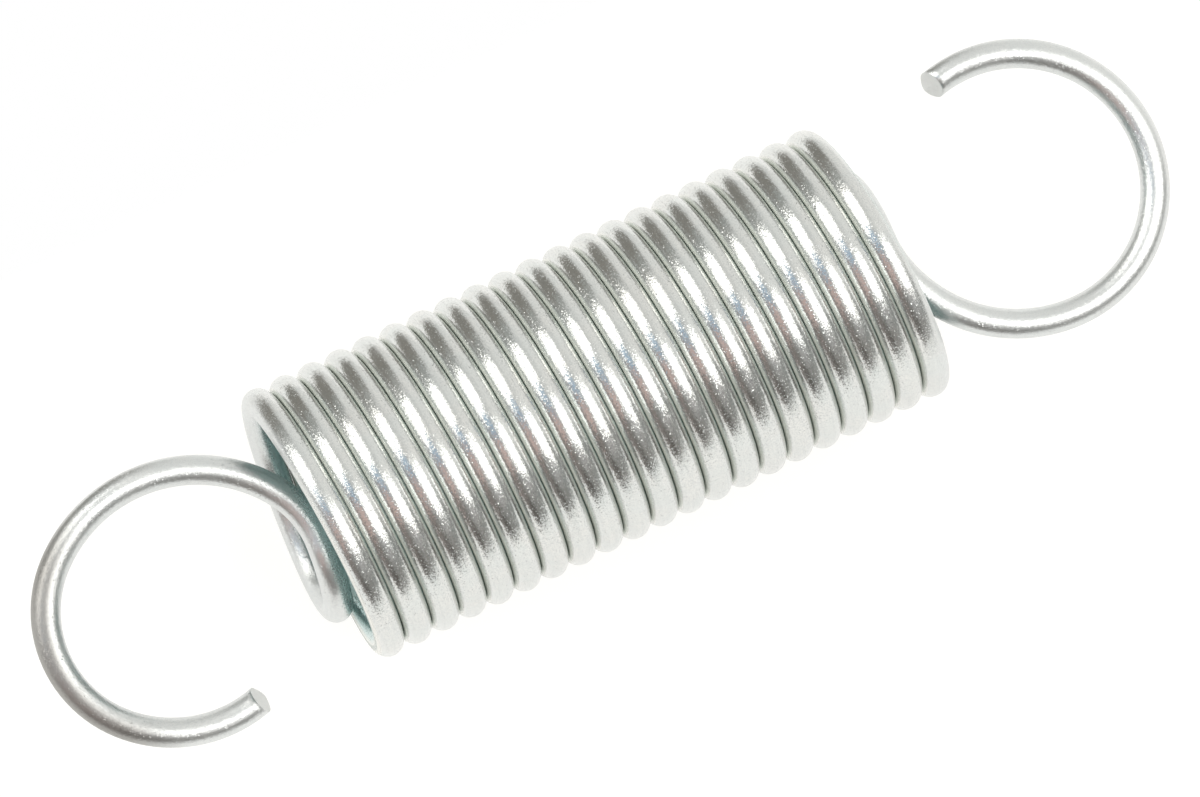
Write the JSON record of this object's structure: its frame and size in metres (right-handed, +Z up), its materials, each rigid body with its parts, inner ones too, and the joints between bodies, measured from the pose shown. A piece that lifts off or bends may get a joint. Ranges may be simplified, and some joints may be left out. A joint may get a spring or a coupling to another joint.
{
  "type": "extension spring",
  "caption": "Close-wound extension spring of round zinc-plated wire with a large open hook loop turned out from the coil's centre at each end.",
  "frame": {"origin": "under the middle of the coil, on the surface that the spring lies on", "axes": "+X along the coil's axis towards the rounder loop, +Z up, square to the plane of both loops"},
  "size_m": [0.0832, 0.0204, 0.02],
  "materials": {
    "plated_wire": "bright zinc plate over drawn wire"
  },
  "bodies": {
    "root": {"spring": "plated_wire"}
  },
  "joints": []
}
